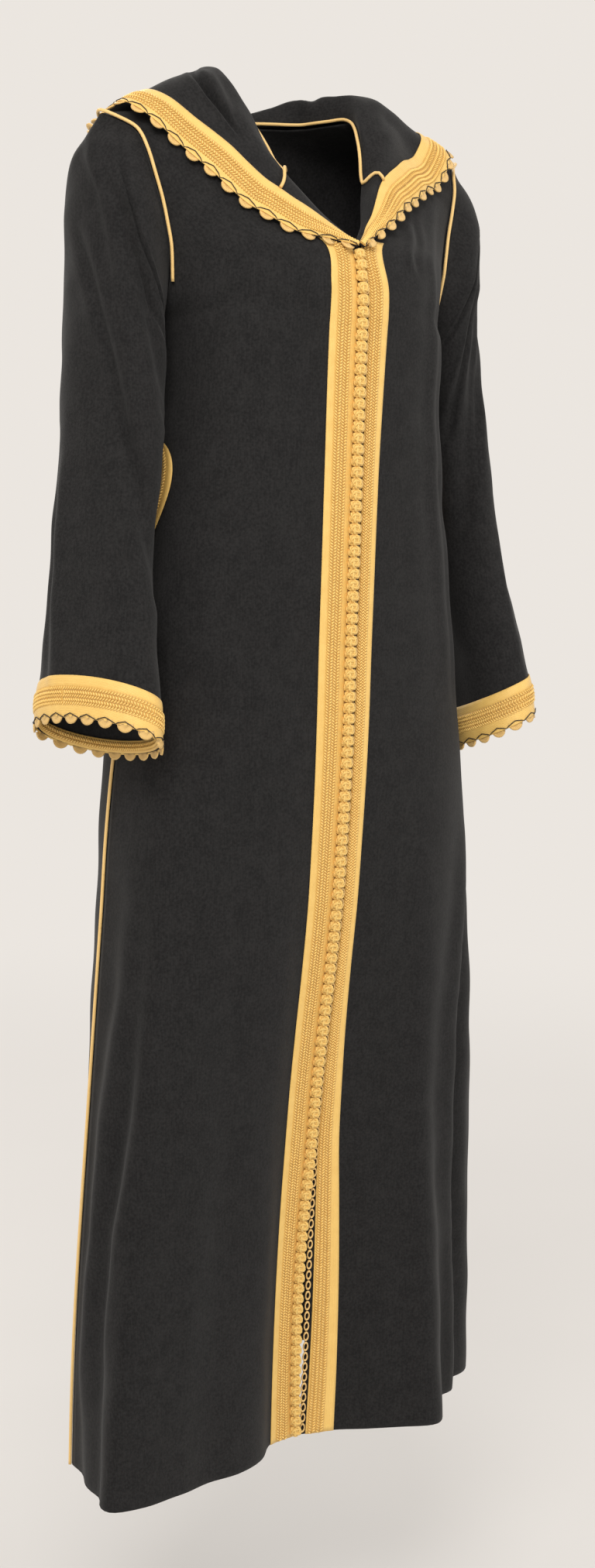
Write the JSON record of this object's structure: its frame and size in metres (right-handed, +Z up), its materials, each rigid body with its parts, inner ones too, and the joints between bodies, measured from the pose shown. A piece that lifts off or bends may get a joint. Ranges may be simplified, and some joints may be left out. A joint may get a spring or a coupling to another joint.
{
  "type": "moroccan hooded kaftan",
  "caption": "Long hooded robe with full-length front opening, flat braid borders, knot buttons, scalloped hood and cuffs, held in its worn hollow form.",
  "frame": {"origin": "where the wearer's neck and shoulders hold the garment: on the centre line, at the height of the neck's side points, between the shoulders", "axes": "+Z up along the wearer, -Y out of the front, +X to the wearer's left"},
  "size_m": [0.5799, 0.3047, 1.3395],
  "materials": {
    "black_cloth": "matte plain weave, almost black",
    "gold_braid": "flat plaited braid with a silky thread",
    "gold_crochet": "crochet scallops in silky thread",
    "gold_cord": "round sewn cord",
    "gold_knots": "woven knot buttons"
  },
  "bodies": {
    "root": {"armhole_cord_left": "gold_cord", "armhole_cord_right": "gold_cord", "back": "black_cloth", "cuff_braid_left": "gold_braid", "cuff_braid_right": "gold_braid", "cuff_scallops_left": "gold_crochet", "cuff_scallops_right": "gold_crochet", "front_braid_left": "gold_braid", "front_braid_right": "gold_braid", "front_left": "black_cloth", "front_right": "black_cloth", "hood_braid_left": "gold_braid", "hood_braid_right": "gold_braid", "hood_left": "black_cloth", "hood_right": "black_cloth", "hood_scallops_left": "gold_crochet", "hood_scallops_right": "gold_crochet", "knots": "gold_knots", "loops": "gold_cord", "neck_cord_left": "gold_cord", "neck_cord_right": "gold_cord", "pocket_braid_left": "gold_braid", "pocket_braid_right": "gold_braid", "side_cord_left": "gold_cord", "side_cord_right": "gold_cord", "sleeve_left": "black_cloth", "sleeve_right": "black_cloth"}
  },
  "joints": []
}
